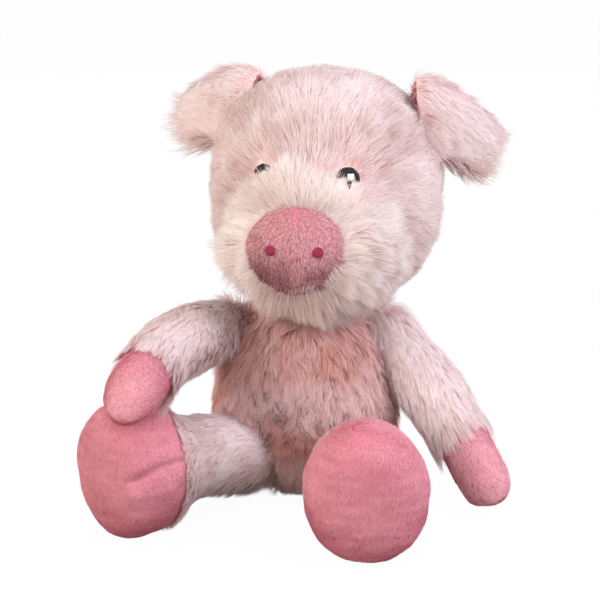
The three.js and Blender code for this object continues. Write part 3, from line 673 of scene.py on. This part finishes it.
FUR_ROOT, FUR_TIP = (251, 230, 230), (255, 251, 252)
RUFF_ROOT, RUFF_TIP = (250, 234, 230), (254, 251, 250)
# The front of the body has the pale fur darkened and warmed: painted shade
SHADED_BELLY_ROOT, SHADED_BELLY_TIP = (232, 184, 180), (251, 230, 230)
PINK_ROOT, PINK_TIP = (232, 146, 166), (254, 202, 213)
# The mitts' pile is a paler copy of the feet's: painted light
LIT_MITT_ROOT, LIT_MITT_TIP = (238, 160, 177), (255, 214, 222)
SNOUT_ROOT, SNOUT_TIP = (190, 128, 138), (255, 212, 219)
LINING_ROOT, LINING_TIP = (196, 92, 104), (232, 146, 154)
WARM_WHITE = (255, 250, 250)

fur = strand_material("fur", FUR_ROOT, FUR_TIP, WHITE, (214, 184, 178), through=0.5)
belly_fur_painted_shade = strand_material("belly_fur_painted_shade", SHADED_BELLY_ROOT, SHADED_BELLY_TIP, WHITE, (226, 166, 134), through=0.45)
ruff = strand_material("ruff", RUFF_ROOT, RUFF_TIP, WHITE, (214, 194, 190), through=0.45)
minky = strand_material("minky", PINK_ROOT, PINK_TIP, WARM_WHITE, (216, 166, 180), 0.6)
mitt_minky_painted_light = strand_material("mitt_minky_painted_light", LIT_MITT_ROOT, LIT_MITT_TIP, WARM_WHITE, (216, 166, 180), 0.6)
snout_plush = strand_material("snout_plush", SNOUT_ROOT, SNOUT_TIP, WARM_WHITE, (160, 130, 138), 0.6)
lining = strand_material("lining", LINING_ROOT, LINING_TIP, WARM_WHITE, (220, 200, 200), 0.7)
fur_backing = cloth_material("fur_backing", (244, 214, 212), (250, 230, 229))
ruff_backing = cloth_material("ruff_backing", (236, 210, 208), (246, 228, 226))
minky_backing = cloth_material("minky_backing", (214, 124, 150), (234, 148, 172))
lining_backing = cloth_material("lining_backing", (186, 84, 96), (212, 116, 126))


# Flows of the pile

def from_snout(places, ups):
    """Away from the snout on the face, and down at the back."""
    away = unit(places - snout_middle)
    behind = rising(-(places - head_middle) @ head_forward / MM, 0, 50)[:, None]
    return away * (1 - 0.6 * behind) + np.array([0, 0, -1.0]) * (0.25 + behind)


def downwards(places, ups):
    return np.tile((0, 0, -1.0), (len(places), 1)) + 0.2 * ups


def away_from(centre):
    return lambda places, ups: unit(places - centre)


def along(start, end):
    way = unit(np.asarray(end) - np.asarray(start))
    return lambda places, ups: np.tile(way, (len(places), 1))


def even(value):
    """A tint that is the same everywhere."""
    return lambda places: np.full(len(places), value)


def muzzle_zone(places):
    """1 on the whiter arch that rises from the snout to between the eyes, falling to 0 round it."""
    away = places - snout_middle
    rise = away @ UP / MM
    across = away @ head_across / MM
    reach = np.hypot(across / np.where(across < 0, 40, 44), rise / np.where(rise > 0, 41, 46))
    front = rising((places - head_middle) @ head_forward / MM, 0, 10)
    return (1 - rising(reach, 0.86, 1)) * front


def nearness(places, centres):
    """How far each place is from the nearest of some centres, in mm."""
    return np.min([np.linalg.norm(places - c, axis=1) for c in centres], axis=0) / MM


def clear_of(centres, radius):
    return lambda places: rising(nearness(places, centres), radius, radius + 1.5)


# Threads

def tubes(name, paths, radius, body, material, node, sides=6):
    """Round threads along paths, each of the same number of points."""
    paths = np.asarray(paths)
    ways = unit(np.gradient(paths, axis=1))
    across = unit(np.cross(ways, (0.31, 0.87, 0.38)))
    other = np.cross(ways, across)
    count, steps, _ = paths.shape
    turn = np.linspace(0, 2 * np.pi, sides, endpoint=False)
    taper = np.full(steps, radius * MM)
    taper[[0, -1]] *= 0.35
    ring = across[:, :, None] * np.cos(turn)[:, None] + other[:, :, None] * np.sin(turn)[:, None]
    points = paths[:, :, None] + ring * taper[None, :, None, None]
    index = np.arange(count * steps * sides).reshape(count, steps, sides)
    a, b = index[:, :-1], index[:, 1:]
    c, d = np.roll(a, -1, 2), np.roll(b, -1, 2)
    walls = np.concatenate([np.stack([a, c, b], -1).reshape(-1, 3), np.stack([b, c, d], -1).reshape(-1, 3)])
    spokes = range(1, sides - 1)
    caps = [np.stack([index[:, 0, 0], index[:, 0, k + 1], index[:, 0, k]], -1) for k in spokes]
    caps += [np.stack([index[:, -1, 0], index[:, -1, k], index[:, -1, k + 1]], -1) for k in spokes]
    piece = object_of(name, points.reshape(-1, 3), np.concatenate([walls, *caps]), material)
    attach(piece, body)
    if node:
        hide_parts(node)


THREAD_STEPS = 9
THREAD_REACH = 12 * MM


def laid_threads(surface, centre, lines, lift):
    """Threads laid on a surface: each line is (side, low, high, height) in mm about the centre."""
    normal, side, up, tree = plane_of(surface, centre)
    paths = []
    for across, low, high, rise in lines:
        path = []
        for t in np.linspace(0, 1, THREAD_STEPS):
            away = (low + (high - low) * t) * MM
            start = centre + side * across * MM + up * away + normal * THREAD_REACH
            hit = tree.ray_cast(start.tolist(), (-normal).tolist())[0]
            foot = np.array(hit) if hit else start - normal * THREAD_REACH
            path.append(foot + normal * (lift + rise * math.sin(math.pi * t) ** 0.5) * MM)
        paths.append(path)
    return paths


# The parts of the pig

LONG = {"density": 3.2, "width": 0.28, "tuft": 3, "gather": 0.35, "swirl": 0.3, "swirl_cell": 18, "spread": 0.12,
        "skin_share": 0.8}
LOOSE = {**LONG, "gather": 0.6, "swirl": 0.5, "swirl_cell": 12, "spread": 0.2, "skin_share": 0.86}
BROW = {**LONG, "density": 4, "gather": 0.25, "swirl": 0.2, "skin_share": 0.88}
MUZZLE = {**LONG, "tuft": 3.6, "gather": 0.72, "swirl": 0.4, "spread": 0.16}
SLEEVE = {**LONG, "gather": 0.5, "swirl": 0.4}
SHORT = {"density": 7, "width": 0.28, "kind": "short", "lift": 0.38, "tuft": 1.6, "gather": 0.15, "swirl": 0.3,
         "swirl_cell": 10, "spread": 0.2, "droop": 0, "skin_share": 0.88, "vary": 0.04}
SNOUT = {**SHORT, "vary": 0.13, "skin_share": 0.55, "density": 5, "gather": 0.5, "tuft": 1.7, "swirl": 0.5}
MITT = {**SHORT, "gather": 0.5, "swirl": 0.6}

# How long the pile is, in mm
BODY_PILE = 14
HEAD_PILE = 12
BROW_PILE = 14
CHIN_PILE = 22
SNOUT_PILE = 2.8
NECK_PILE = 12
EAR_PILE = 9
LINING_PILE = 2.4
ARM_PILE = 11
MITT_PILE = 2.3
LEG_PILE = 12
FOOT_PILE = 2
TAIL_PILE = 1.5


NAP_STREAK = 4 * MM
NAP_SPECK = 1.3 * MM
NAP_PATCH = 24 * MM
SPECKS_FADE = 16 * MM
# Heights in mm between which a foot's painted shade fades, from deepest low down to none
FOOT_PAINTED_SHADE = (6, 36)
# How far above and below the snout's middle its painted light and shade runs
SNOUT_PAINTED_SHADE = 22 * MM


def nap(places):
    """Level streaks of paler and deeper pile, and darker specks low down."""
    streaks = Waves("nap", NAP_STREAK)(places * (0.3, 0.3, 1.7))[:, 1] * 0.1
    low = np.clip(2.2 - places[:, 2] / SPECKS_FADE, 0.15, 1)
    specks = np.clip(Waves("specks", NAP_SPECK)(places)[:, 0] - 0.55, 0, 1) * low
    patches = Waves("nap_patches", NAP_PATCH)(places)[:, 2] * 0.16
    return streaks + patches - 1.6 * specks


def foot_nap_and_shade(places):
    """The nap of a foot, with painted shade that deepens towards the floor."""
    return nap(places) - 0.1 - 0.34 * (1 - rising(places[:, 2] / MM, *FOOT_PAINTED_SHADE))


def snout_painted_shade(places):
    """Painted light and shade: paler at the snout's top and deeper at its foot, as if lit from above."""
    return -0.15 + 0.36 * np.clip((places - snout_middle) @ UP / SNOUT_PAINTED_SHADE, -1, 1)


def ruff_painted_shade(places):
    """Painted shade: duller tufts below the snout, which shades them."""
    return -0.22 * rising(-unit(places - snout_middle) @ UP, 0.3, 0.8)


def plain_base(node, body, slot, surface, material, fill, *inner):
    make_base(node + "_cloth", body, [node, *inner], surface, material)


# Spots on the belly: how far across and up they lie, their width and their height, in mm
BELLY_CURLS = (-8, 0, 26, 22)
BELLY_PALE = (-6, 9, 22, 8)
# The darker spot low on the belly is painted shade
BELLY_PAINTED_SHADE = (-5, -12, 20, 13)
CURLS_SHORTER = 4
CURLS_CRIMP = 1.9
# Distances in mm behind the torso's middle over which its painted shade gives way to the pale fur
PAINTED_SHADE_END = (2, 26)


def belly_spot(places, across, rise, width, height):
    """1 at a place on the front of the belly, in mm from the torso's middle, falling to 0 round it."""
    away = (places - torso_middle) / MM
    reach = ((away[:, 0] - across) / width) ** 2 + ((away[:, 2] - rise) / height) ** 2
    return np.exp(-reach) * (away[:, 1] < 0)


def make_torso():
    inner = ["torso_stuffing", "pellet_pouch"]
    surface = stuffed(["torso_skin"], inner, 5 * MM)
    plain_base("torso_skin", "torso", "long_fur", surface, fur_backing, 0.75, *inner)

    def front(places):
        """1 on the front and sides of the body, whose fur is a darker copy with painted shade, falling to 0 on its
        back.
        """
        return 1 - rising((places - torso_middle)[:, 1] / MM, *PAINTED_SHADE_END)

    def curled(places):
        return belly_spot(places, *BELLY_CURLS)

    def tint(places):
        # A paler band, and painted shade low on the belly
        return -0.04 + 0.4 * belly_spot(places, *BELLY_PALE) - 0.2 * belly_spot(places, *BELLY_PAINTED_SHADE)

    # The front takes the fur with painted shade, the back the pale fur
    make_pile("torso_fur", "torso", "long_fur", belly_fur_painted_shade, surface, flow=downwards, vary=0.12, tint=tint, share=front,
              length=lambda places: BODY_PILE - CURLS_SHORTER * curled(places),
              crimp=lambda places: CURLS_CRIMP * curled(places), **LOOSE)
    make_pile("back_fur", "torso", "long_fur", fur, surface, length=BODY_PILE, flow=downwards, tint=even(-0.15),
              share=lambda places: 1 - front(places), **LOOSE)


BULGE_HEIGHT = 4.5 * MM
BULGE_EVENING = 10
OPEN_EYE_CLEAR = 6
HIDDEN_EYE_CLEAR = 5
HIDDEN_EYE_RISE = 3 * MM

# How near the eyes and ears the pile changes its length, in mm
SHORT_AT_EYES = (7, 15)
LONG_AT_EARS = (26, 38)
BROW_AT_OPEN_EYE = (14, 26)
BROW_AT_HIDDEN_EYE = (10, 16)


def make_head():
    points, faces = stuffed(["head_skin"], ["head_stuffing"], 5 * MM, slack=0.6 * MM, rounds=2)
    bulge = evened(np.repeat(muzzle_zone(points)[:, None], 3, 1), faces, BULGE_EVENING)
    surface = points + point_normals(points, faces) * bulge * BULGE_HEIGHT, faces
    plain_base("head_skin", "head", "long_fur", surface, fur_backing, 0.85, "head_stuffing")
    open_eye, hidden_eye = middle("eye_left"), middle("eye_right") + UP * HIDDEN_EYE_RISE
    ears = [middle("ear_" + side + "_fur") for side in ("left", "right")]

    def off_eyes(places):
        return clear_of([open_eye], OPEN_EYE_CLEAR)(places) * clear_of([hidden_eye], HIDDEN_EYE_CLEAR)(places)

    def short_at_eyes(places):
        return 0.4 + 0.6 * rising(nearness(places, [open_eye, hidden_eye]), *SHORT_AT_EYES)

    def head_length(places):
        return HEAD_PILE * short_at_eyes(places) + 6 * (1 - rising(nearness(places, ears), *LONG_AT_EARS))

    def brow_length(places):
        open_side = 1 - rising(nearness(places, [open_eye]), *BROW_AT_OPEN_EYE)
        hidden_side = 1 - rising(nearness(places, [hidden_eye]), *BROW_AT_HIDDEN_EYE)
        return BROW_PILE - 8 * open_side - 6 * hidden_side

    make_pile("head_fur", "head", "long_fur", fur, surface, length=head_length, flow=from_snout, tint=even(-0.1),
              share=lambda places: off_eyes(places) * (1 - muzzle_zone(places)), **LONG)
    make_pile("brow_ruff", "head", "ruff_fur", ruff, surface, length=brow_length,
              flow=away_from(snout_middle - head_forward * 4 * MM), lift=0.48, droop=0,
              share=lambda places: off_eyes(places) * muzzle_zone(places), **BROW)
    return surface


SNOUT_WIDER = 0.07
SNOUT_HIGHER = 0.05
SNOUT_SHIFT = -1.5 * MM
SNOUT_DROP = -1.2 * MM
NOSTRIL_CLEAR = 1.8


def fuller_snout(surface):
    """The snout a little wider and deeper, towards the pig's right."""
    points, faces = surface
    away = points - snout_middle
    across = (away @ head_across)[:, None] * head_across
    rise = (away @ UP)[:, None] * UP
    moved = points + SNOUT_WIDER * across + SNOUT_HIGHER * rise
    return moved + SNOUT_SHIFT * head_across + SNOUT_DROP * UP, faces


def make_muzzle():
    surface = stuffed(["muzzle_panel"], ["muzzle_stuffing"], 3.5 * MM, rounds=2)
    plain_base("muzzle_panel", "head", "ruff_fur", surface, ruff_backing, 0.8, "muzzle_stuffing")
    snout = fuller_snout(stuffed(["snout_skin"], ["snout_stuffing"], 3 * MM, slack=0, finer=2, rounds=2))

    def off_snout(places):
        return rising(distances(places, "snout_skin") / MM, 0.5, 2.5)

    def ruff_length(places):
        return CHIN_PILE - 11 * rising(unit(places - snout_middle) @ UP, 0, 0.625)

    # The ruff under the snout carries painted shade
    make_pile("muzzle_ruff", "head", "ruff_fur", ruff, surface, length=ruff_length,
              flow=away_from(snout_middle - head_forward * 6 * MM), droop=0.2, share=off_snout, tint=ruff_painted_shade,
              **MUZZLE)
    plain_base("snout_skin", "head", "short_pile", snout, minky_backing, 0.9, "snout_stuffing")
    holes = [middle("nostril_left"), middle("nostril_right")]
    above = snout_middle + head_forward * 6 * MM + UP * 34 * MM
    # The snout's pile carries painted light and shade, paler on top and deeper below
    make_pile("snout_pile", "head", "short_pile", snout_plush, snout, length=SNOUT_PILE,
              flow=away_from(above), tint=snout_painted_shade, share=clear_of(holes, NOSTRIL_CLEAR), **SNOUT)
    return snout


def make_neck():
    surface = stuffed(["neck_roll"], rounds=2)
    plain_base("neck_roll", "neck", "ruff_fur", surface, fur_backing, 0.7)
    make_pile("neck_fur", "neck", "ruff_fur", fur, surface, length=NECK_PILE, flow=downwards, tint=even(-0.15),
              **LONG)


EAR_CORNER_REACH = 13 * MM
# Distances in mm: the fur sets in off the lining, lengthens at the hem and low down, and turns at the seam
EAR_FUR_START = (0.5, 1)
EAR_HEM = (1.4, 2.4)
EAR_UNDER = (8, 22)
EAR_SEAM = (0, 8)


def make_ears():
    for side in ("left", "right"):
        body = "ear_" + side
        fur_surface = stuffed([body + "_fur"], voxel=1.6 * MM, slack=0, cap=0.6 * MM, finer=0, rounds=2)
        plain_base(body + "_fur", body, "long_fur", fur_surface, fur_backing, 0.5)
        root = np.array(joints[body + "_flap"]["pos_m"])
        outward = unit(middle(body + "_fur") - root)
        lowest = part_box(body + "_fur")[0][2]
        corner = np.array(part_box(body + "_lining")[1])

        def outer(places):
            return rising(distances(places, body + "_lining") / MM, *EAR_FUR_START)

        def hem(places):
            edge = 1 - rising(distances(places, body + "_lining") / MM, *EAR_HEM)
            under = 1 - rising((places[:, 2] - lowest) / MM, *EAR_UNDER)
            return EAR_PILE + edge * (5 + 6 * under)

        def off_hem(places):
            return np.maximum(0.15, rising(distances(places, body + "_fur") / MM, 0, 1))

        def flow(places, ups):
            seam = 1 - rising(distances(places, "head_skin") / MM, *EAR_SEAM)[:, None]
            ways = (outward - UP * 0.4) * (1 - seam) + unit(head_middle - places) * seam
            if side == "right":
                near = np.exp(-(np.linalg.norm(places - corner, axis=1) / EAR_CORNER_REACH) ** 2)[:, None]
                ways = ways * (1 - near) + (unit(corner - places) + UP * 0.6) * near
            return ways

        make_pile(body + "_pile", body, "long_fur", fur, fur_surface, length=hem, flow=flow, lift=0.4, share=outer,
                  **LONG)
        lining_surface = stuffed([body + "_lining"], voxel=1.2 * MM, slack=0, cap=0.4 * MM, finer=0, rounds=1)
        plain_base(body + "_lining", body, "ear_lining", lining_surface, lining_backing, 0.3)
        make_pile(body + "_lining_pile", body, "ear_lining", lining, lining_surface, length=LINING_PILE,
                  flow=away_from(root), share=off_hem, **SHORT)


def split_bases(body, surface, nodes, looks, inner):
    """Makes each node's share of a limb's form its own piece, and returns the shares."""
    points, faces = surface
    owner, _ = seam_field(points[faces].mean(1), nodes)
    shares = {}
    for number, node in enumerate(nodes):
        part = kept_faces(points, faces, owner == number)
        slot, material, fill = looks[node]
        make_base(node + "_cloth", body, [node, *(inner if number == 0 else ())], part, material)
        shares[node] = part
    return shares


def longer_at(node, usual, there, reach):
    """Lengths that change from the usual one to another towards a neighbouring node."""
    return lambda places: usual + (there - usual) * np.exp(-distances(places, node) / (reach * MM))


def dipped(surface, start, way, far, move):
    """Bends the far end of a limb by a move, from a distance along it."""
    points, faces = surface
    t = rising(((points - start) @ way - far) / MM, 0, 18)
    return points + t[:, None] ** 2 * np.array(move) * MM, faces


LIMB_VOXEL = 3.5 * MM
LIMB_SLACK = 0.8 * MM
MITT_BEND_FROM = 62 * MM
MITT_BEND = (-1.5, -3, -8)


def make_arms():
    for side in ("left", "right"):
        body = "arm_" + side
        sleeve, mitt = body + "_sleeve", body + "_mitt"
        start, way = middle(sleeve), unit(middle(mitt) - middle(sleeve))
        shoulder = np.array(joints["shoulder_" + side]["pos_m"])
        filling = [body + "_stuffing"]
        surface = lumped(stuffed([sleeve, mitt], filling, LIMB_VOXEL, slack=LIMB_SLACK), body, 16, 0.6)
        if side == "right":
            surface = dipped(surface, start, way, MITT_BEND_FROM, MITT_BEND)
        looks = {sleeve: ("long_fur", fur_backing, 0.6), mitt: ("short_pile", minky_backing, 0.6)}
        shares = split_bases(body, surface, [sleeve, mitt], looks, filling)

        def arm_length(places):
            away = places - start
            off = away - (away @ way)[:, None] * way
            under = 1 - rising(off[:, 2] / MM, -12, 12)
            cuff = np.exp(-distances(places, mitt) / (8 * MM))
            root = 1 - rising(nearness(places, [shoulder]), 0, 30)
            return ARM_PILE + cuff * (1 + 9 * under) + 7 * root

        flow = along(start, middle(mitt))
        make_pile(body + "_fur", body, "long_fur", fur, shares[sleeve], length=arm_length, flow=flow, lift=0.38,
                  droop=0.35, **SLEEVE)
        # The mitts take the paler pile: painted light
        make_pile(body + "_pile", body, "short_pile", mitt_minky_painted_light, shares[mitt], length=MITT_PILE, flow=flow,
                  tint=nap, **MITT)


ANKLE_FUR = {"left": 2, "right": 6}
FOLDS_CENTRE = np.array([13, 0, 7.5]) * MM
FOLDS_FACING = np.array([0, -1.0, 0])
FAR_FOOT_FOLDS = [([(-9, -3), (-4, 0), (3, 2), (10, 2)], 2.3, 2.6), ([(-6, -9), (6, -8)], -1.3, 5)]


def make_legs():
    for side in ("left", "right"):
        body = "leg_" + side
        sleeve, upper, sole = body + "_sleeve", "foot_" + side + "_upper", "foot_" + side + "_sole"
        filling = [body + "_stuffing"]
        surface = lumped(stuffed([sleeve, upper, sole], filling, LIMB_VOXEL, slack=LIMB_SLACK), body, 15, 0.7)
        if side == "right":
            surface = creased(surface, middle(upper) + FOLDS_CENTRE, FOLDS_FACING, FAR_FOOT_FOLDS)
        foot = ("short_pile", minky_backing, 0.8)
        looks = {sleeve: ("long_fur", fur_backing, 0.6), upper: foot, sole: foot}
        shares = split_bases(body, surface, [sleeve, upper, sole], looks, filling)
        way = along(middle(sleeve), middle(upper))
        make_pile(body + "_fur", body, "long_fur", fur, shares[sleeve],
                  length=longer_at(upper, LEG_PILE, ANKLE_FUR[side], 12), flow=way, lift=0.38, droop=0.25,
                  share=lambda places: rising(places[:, 2] / MM, 3, 9), **LONG)
        # The feet's pile carries painted shade, deeper towards the floor
        for node in (upper, sole):
            make_pile(node + "_pile", body, "short_pile", minky, shares[node], length=FOOT_PILE, flow=downwards,
                      tint=foot_nap_and_shade, **SHORT)


def make_tail():
    surface = stuffed(["tail"], voxel=2 * MM, slack=0.3 * MM, cap=1 * MM, rounds=1)
    plain_base("tail", "tail", "short_pile", surface, minky_backing, 0.7)
    make_pile("tail_pile", "tail", "short_pile", minky, surface, length=TAIL_PILE, flow=downwards, **SHORT)


def eye_lines(random):
    """A black dome round a white glint, with loose black threads under it, in mm about the eye's middle."""
    black, white = [], []
    for x in np.linspace(-5.8, 5.8, 29):
        high = 5.7 * math.sqrt(max(0, 1 - (x / 6) ** 2)) + random.uniform(-0.2, 0.2)
        low = 0.4 + random.uniform(-0.5, 0.5) if x < 4 else -1.5 + random.uniform(-1, 0.5)
        if -0.2 < x < 3.1:
            low = 1.9
            white.append((x, -1.2 + random.uniform(-0.7, 0.7), 2.2, 0.5))
        black.append((x, min(low, high - 0.6), high, 0.5))
    black += [(-0.3, -4.2, -1.6, 0.3), (0.3, -5.8, -1.8, 0.3), (0.9, -4.6, -1.7, 0.3), (1.4, -3.2, -1.7, 0.3)]
    return black, white


THREAD_LOOK = {"patch": 400, "knit": 2600, "bump": 0.5, "roughness": 0.6, "sheen": 0}
EYE_THREAD_RADIUS = 0.3
NOSTRIL_THREAD_RADIUS = 0.32


def make_face(head, snout):
    black = cloth_material("eye_thread", (3, 3, 8), (16, 16, 24), **THREAD_LOOK)
    white = cloth_material("eye_light", (232, 230, 236), (252, 252, 255), **THREAD_LOOK)
    crimson = cloth_material("nostril_thread", (120, 12, 54), (172, 40, 90), **THREAD_LOOK)
    for side in ("left", "right"):
        eye = middle("eye_" + side)
        threads, light = eye_lines(random_of("eye_" + side))
        tubes("eye_" + side + "_threads", laid_threads(head, eye, threads, 1.3), EYE_THREAD_RADIUS, "head",
              black, "eye_" + side)
        tubes("eye_" + side + "_light", laid_threads(head, eye, light, 1.5), EYE_THREAD_RADIUS, "head",
              white, None)
        random = random_of("nostril_" + side)
        spread = np.linspace(-2.4, 2.4, 11)
        dome = np.sqrt(np.maximum(0, 1 - (spread / 3) ** 2))
        lines = [(x, -2.5 * d - random.uniform(0, 0.5), 2.4 * d + random.uniform(0, 0.5), 0.4)
                 for x, d in zip(spread, dome)]
        paths = laid_threads(snout, middle("nostril_" + side), lines, 0.7)
        tubes("nostril_" + side + "_threads", paths, NOSTRIL_THREAD_RADIUS, "head", crimson,
              "nostril_" + side)


make_camera()
make_studio()
make_torso()
head_surface = make_head()
snout_surface = make_muzzle()
make_neck()
make_ears()
make_arms()
make_legs()
make_tail()
make_face(head_surface, snout_surface)
